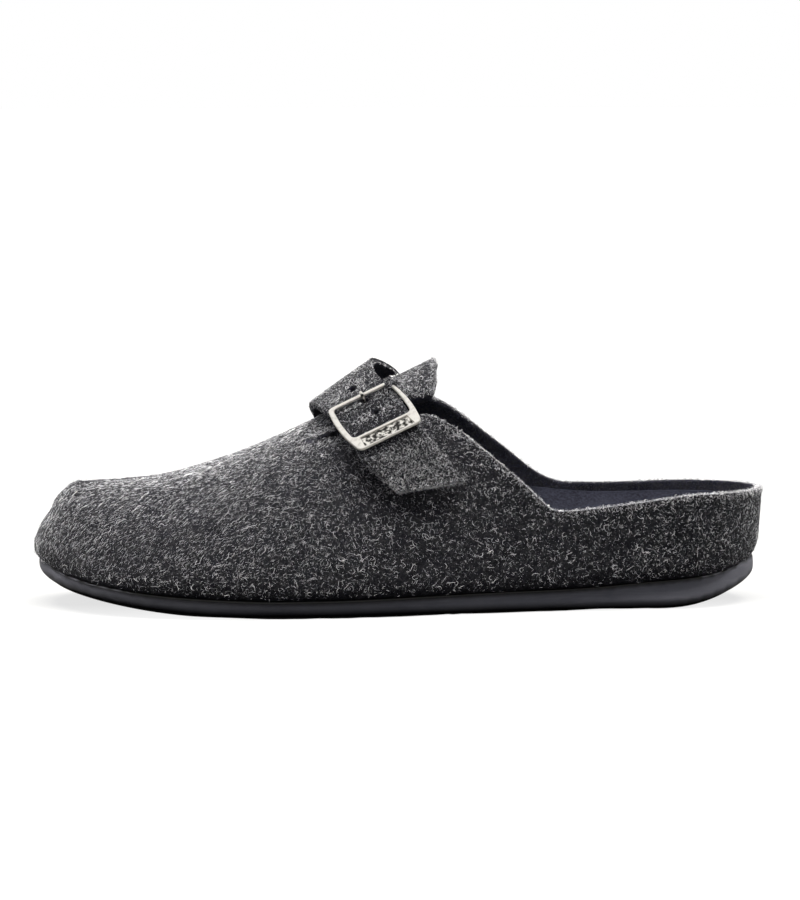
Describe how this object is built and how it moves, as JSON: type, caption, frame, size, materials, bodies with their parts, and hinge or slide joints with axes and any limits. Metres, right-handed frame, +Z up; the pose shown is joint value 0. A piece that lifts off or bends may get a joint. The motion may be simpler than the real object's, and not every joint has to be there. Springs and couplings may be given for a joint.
{
  "type": "felt mule shoe",
  "caption": "Left felt mule with a closed toe, open low heel, contoured footbed, dark rubber sole and a felt instep strap through a square metal buckle.",
  "frame": {"origin": "middle of the bounding box on the floor", "axes": "+X from the toe to the heel, -Y towards the outer side of the foot, +Z up"},
  "size_m": [0.2847, 0.1034, 0.0951],
  "materials": {
    "sole_rubber": "matt black moulded rubber",
    "footbed": "smooth dark navy cover",
    "felt": "thick charcoal melange wool felt",
    "tab_strip": "dark folded strip",
    "buckle_metal": "soft silver cast metal"
  },
  "bodies": {
    "root": {"outsole": "sole_rubber", "insole": "footbed", "upper": "felt", "strap": "felt", "buckle_tab": "tab_strip", "buckle_frame": "buckle_metal", "buckle_prong": "buckle_metal"}
  },
  "joints": []
}
